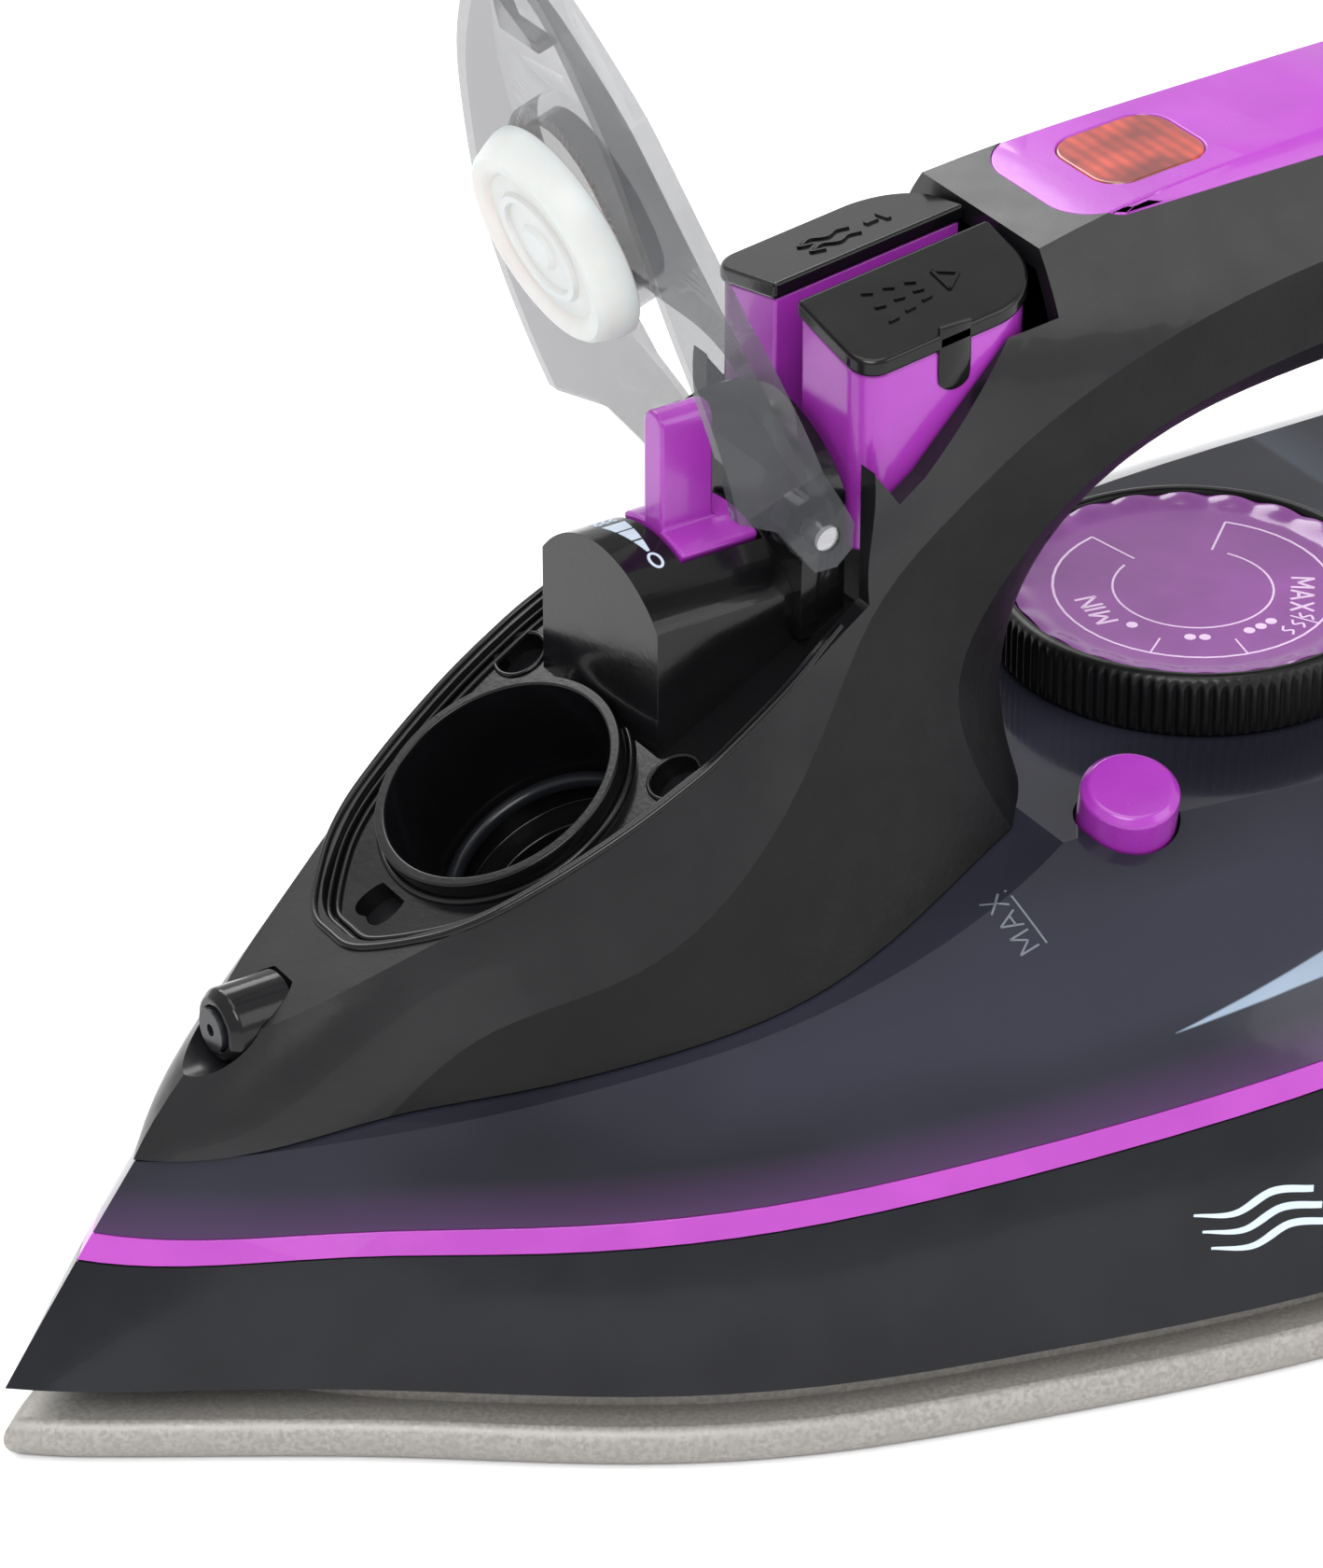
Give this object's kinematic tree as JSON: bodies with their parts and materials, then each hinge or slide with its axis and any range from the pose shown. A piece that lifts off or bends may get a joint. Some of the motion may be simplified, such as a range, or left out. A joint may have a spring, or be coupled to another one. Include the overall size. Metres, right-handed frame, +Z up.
{
  "type": "steam iron",
  "caption": "Steam iron with open filler lid, smoky tank, granular soleplate, sprung thumb buttons, steam lever and a fabric dial under the grip.",
  "frame": {"origin": "on the soleplate's working face, midway along the iron's overall length and on its middle plane", "axes": "-X towards the nose, +X towards the heel, +Z up from the ironing face, Y across"},
  "size_m": [0.2851, 0.124, 0.1428],
  "materials": {
    "sole": "fine granular coating",
    "steel": "satin",
    "brass": "satin",
    "silicone": "translucent satin",
    "dark_gloss": "gloss",
    "nose_gloss": "satin gloss",
    "tank": "smoky translucent gloss",
    "stripe": "gloss",
    "purple": "gloss",
    "charcoal": "fine leather grain",
    "lid": "smoke clear",
    "lens": "clear red brown",
    "dial": "translucent gloss",
    "knurl": "satin",
    "white": "satin",
    "lamp": "clear",
    "feet": "matte"
  },
  "bodies": {
    "iron_body": {"soleplate": "sole", "heater_element": "steel", "heater_pins": "steel", "chamber_gasket": "silicone", "steam_chamber_cover": "steel", "cover_screws": "steel", "thermostat": "steel", "skirt": "dark_gloss", "seal_band": "stripe", "water_tank": "tank", "tank_floor": "tank", "upper_cover": "nose_gloss", "handle_top_cover": "purple", "indicator_lens": "lens", "handle_shell": "charcoal", "indicator_lamp": "lamp", "deck_tray": "dark_gloss", "filler_funnel": "dark_gloss", "regulator_housing": "dark_gloss", "steam_valve_rod": "brass", "drip_valve_seat": "silicone", "spray_nozzle_body": "dark_gloss", "spray_nozzle_tip": "brass", "lid_hinge_pins": "steel", "spray_pump": "white", "spray_pump_spring": "steel", "steam_pump": "white", "steam_pump_spring": "steel", "heel_cover": "charcoal", "heel_feet": "feet", "cord_gland": "feet", "terminal_block": "white"},
    "lid": {"filler_lid": "lid", "lid_stopper": "silicone"},
    "regulator_lever": {"steam_lever": "purple"},
    "spray_button": {"spray_button_body": "purple", "spray_button_cap": "dark_gloss", "spray_plunger": "white"},
    "steam_button": {"steam_button_body": "purple", "steam_button_cap": "dark_gloss", "steam_plunger": "white"},
    "dial": {"dial_ring": "knurl", "dial_disc": "dial", "dial_shaft": "brass"},
    "self_clean": {"self_clean_button": "purple", "self_clean_rod": "brass"},
    "cord_entry": {"cord_swivel": "feet"}
  },
  "joints": [
    {"name": "lid_hinge", "type": "hinge", "parent": "iron_body", "child": "lid", "pos_m": [-0.05382, 0, 0.0866], "axis": [0, -1, 0], "range_deg": [0, 99.3]},
    {"name": "steam_lever_swing", "type": "hinge", "parent": "iron_body", "child": "regulator_lever", "pos_m": [-0.06, 0, 0.07025], "axis": [-1, 0, 0], "range_deg": [0, 24]},
    {"name": "spray_button_press", "type": "slide", "parent": "iron_body", "child": "spray_button", "axis": [0, 0, -1], "range_m": [0, 0.003], "stiffness_N_per_m": 800, "springref_m": -0.002, "deforming": ["spray_pump_spring"]},
    {"name": "steam_button_press", "type": "slide", "parent": "iron_body", "child": "steam_button", "axis": [0, 0, -1], "range_m": [0, 0.003], "stiffness_N_per_m": 800, "springref_m": -0.002, "deforming": ["steam_pump_spring"]},
    {"name": "self_clean_press", "type": "slide", "parent": "iron_body", "child": "self_clean", "axis": [0.1191, 0.2737, -0.9544], "range_m": [0, 0.0025], "stiffness_N_per_m": 400, "springref_m": -0.002},
    {"name": "dial_turn", "type": "hinge", "parent": "iron_body", "child": "dial", "pos_m": [0.0039, 0, 0.055], "axis": [0, 0, 1], "range_deg": [-90, 180]},
    {"name": "cord_entry_turn", "type": "hinge", "parent": "iron_body", "child": "cord_entry", "pos_m": [0.1075, 0, 0.084], "axis": [0.6157, 0, 0.788], "range_deg": [-175, 175]}
  ]
}
